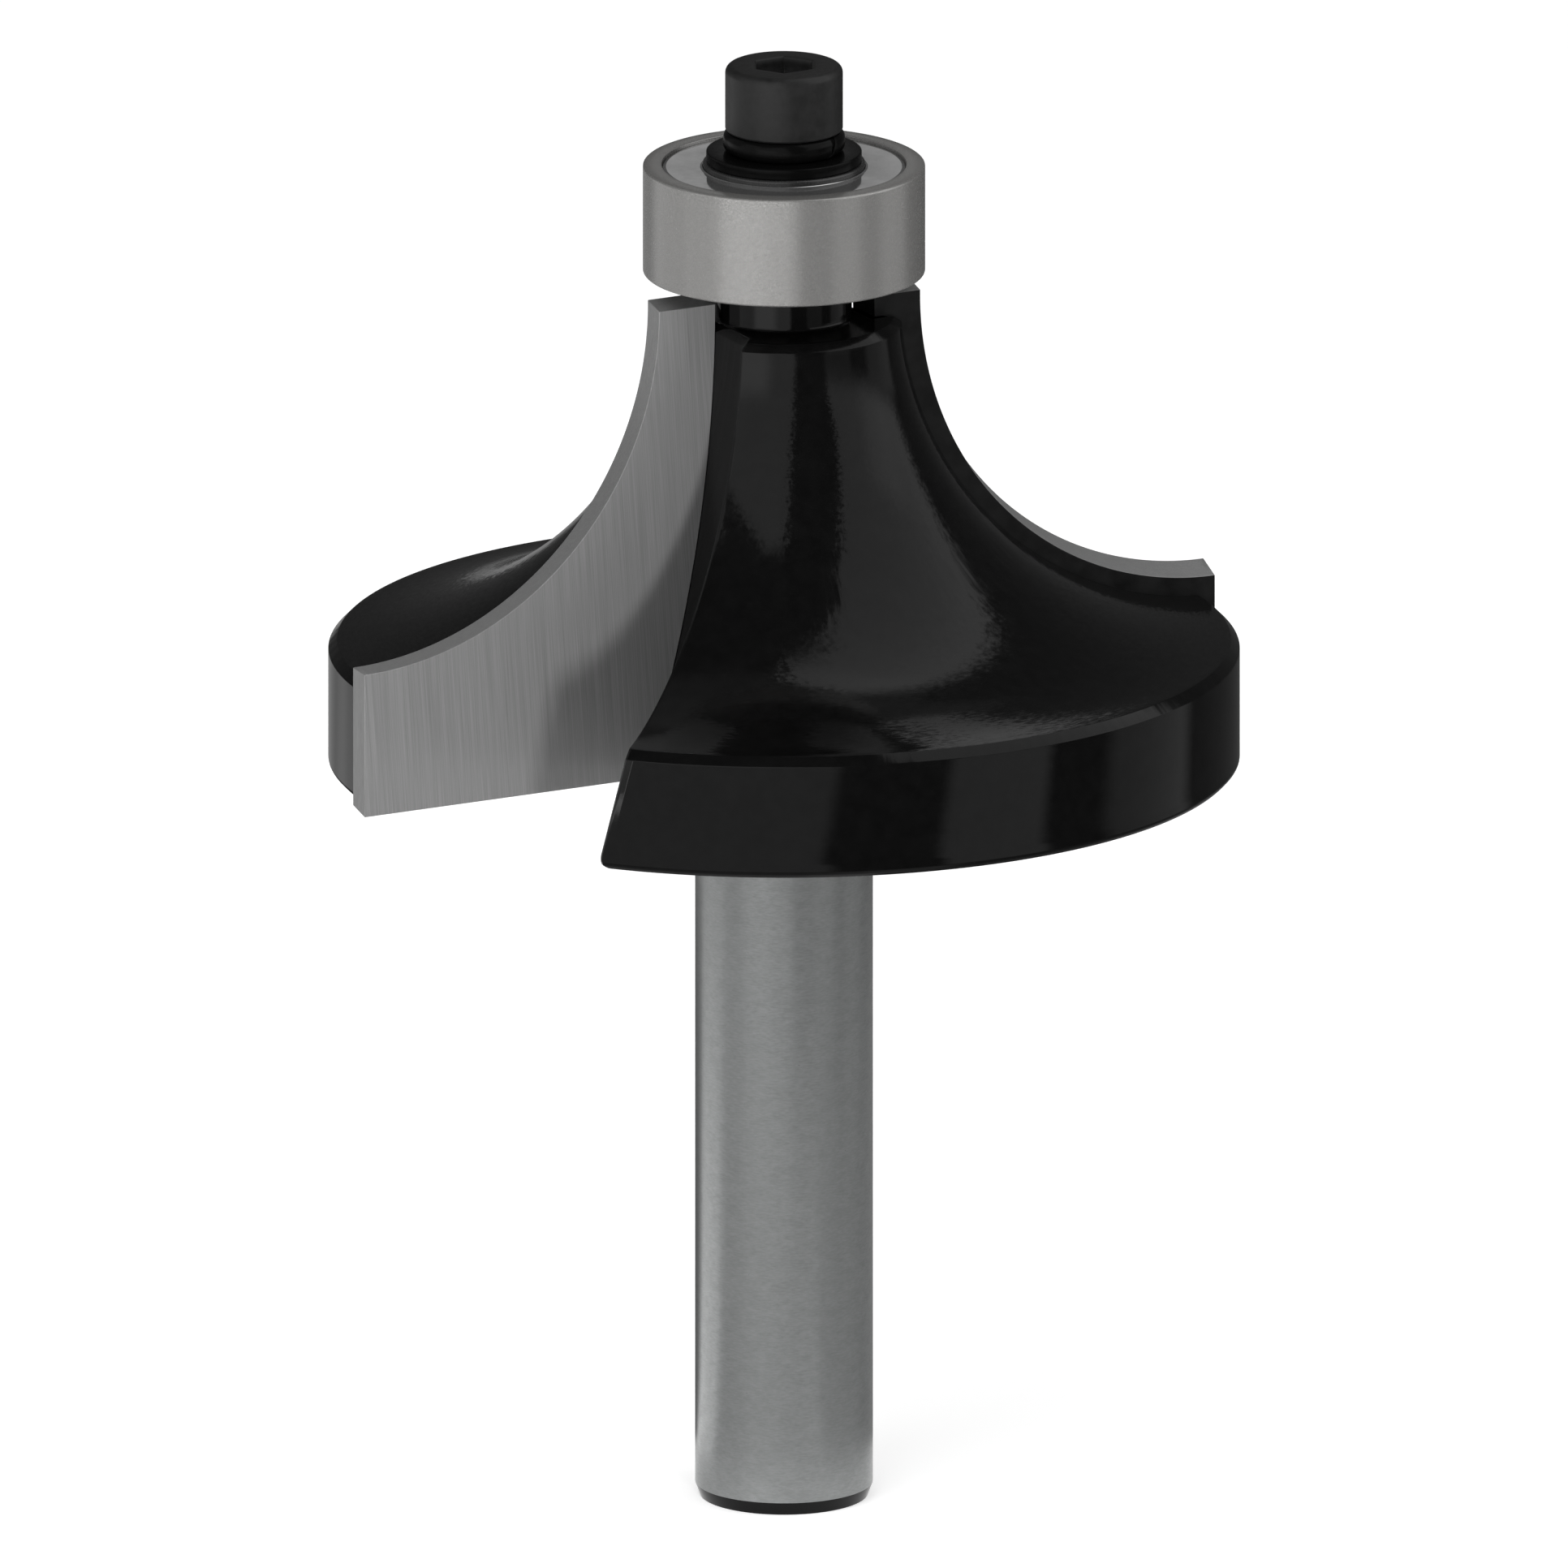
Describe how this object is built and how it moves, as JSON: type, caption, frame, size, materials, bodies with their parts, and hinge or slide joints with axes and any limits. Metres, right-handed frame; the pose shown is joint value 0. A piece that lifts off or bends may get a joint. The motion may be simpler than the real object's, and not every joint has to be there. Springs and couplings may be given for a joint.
{
  "type": "router bit",
  "caption": "Round-over router bit: black steel cutter on a plain shank, two brazed carbide tips, and a pilot ball bearing held on the spindle by a washered cap screw.",
  "frame": {"origin": "centre of the shank's flat end, on the bit's axis", "axes": "+Z along the axis from the shank's end to the pilot bearing; the tips' cutting faces lie in the XZ plane; the bit cuts as it turns from +X towards +Y"},
  "size_m": [0.0428, 0.041, 0.0666],
  "materials": {
    "coated_steel": "gloss black coating on the cutter, bare ground steel on the shank",
    "carbide": "ground",
    "bearing_steel": "fine ground",
    "shield_steel": "pressed, smooth",
    "ball_steel": "polished",
    "cage_brass": "satin",
    "black_oxide": "satin black oxide"
  },
  "bodies": {
    "cutter": {"cutter_body": "coated_steel", "cutting_tip_1": "carbide", "cutting_tip_2": "carbide", "bearing_inner_ring": "bearing_steel", "flat_washer": "black_oxide", "spring_washer": "black_oxide", "cap_screw": "black_oxide"},
    "pilot_ring": {"bearing_outer_ring": "bearing_steel", "shield_upper": "shield_steel", "shield_lower": "shield_steel"},
    "ball_set": {"bearing_cage": "cage_brass", "ball_1": "ball_steel", "ball_2": "ball_steel", "ball_3": "ball_steel", "ball_4": "ball_steel", "ball_5": "ball_steel", "ball_6": "ball_steel", "ball_7": "ball_steel", "ball_8": "ball_steel", "ball_9": "ball_steel"}
  },
  "joints": [
    {"name": "pilot_spin", "type": "hinge", "parent": "cutter", "child": "pilot_ring", "pos_m": [0, 0, 0.05946], "axis": [0, 0, 1], "continuous": true},
    {"name": "ball_set_spin", "type": "hinge", "parent": "cutter", "child": "ball_set", "pos_m": [0, 0, 0.05946], "axis": [0, 0, 1], "continuous": true}
  ],
  "couplings": [
    {"joint": "ball_set_spin", "follows": "pilot_spin", "ratio": 0.5909}
  ]
}
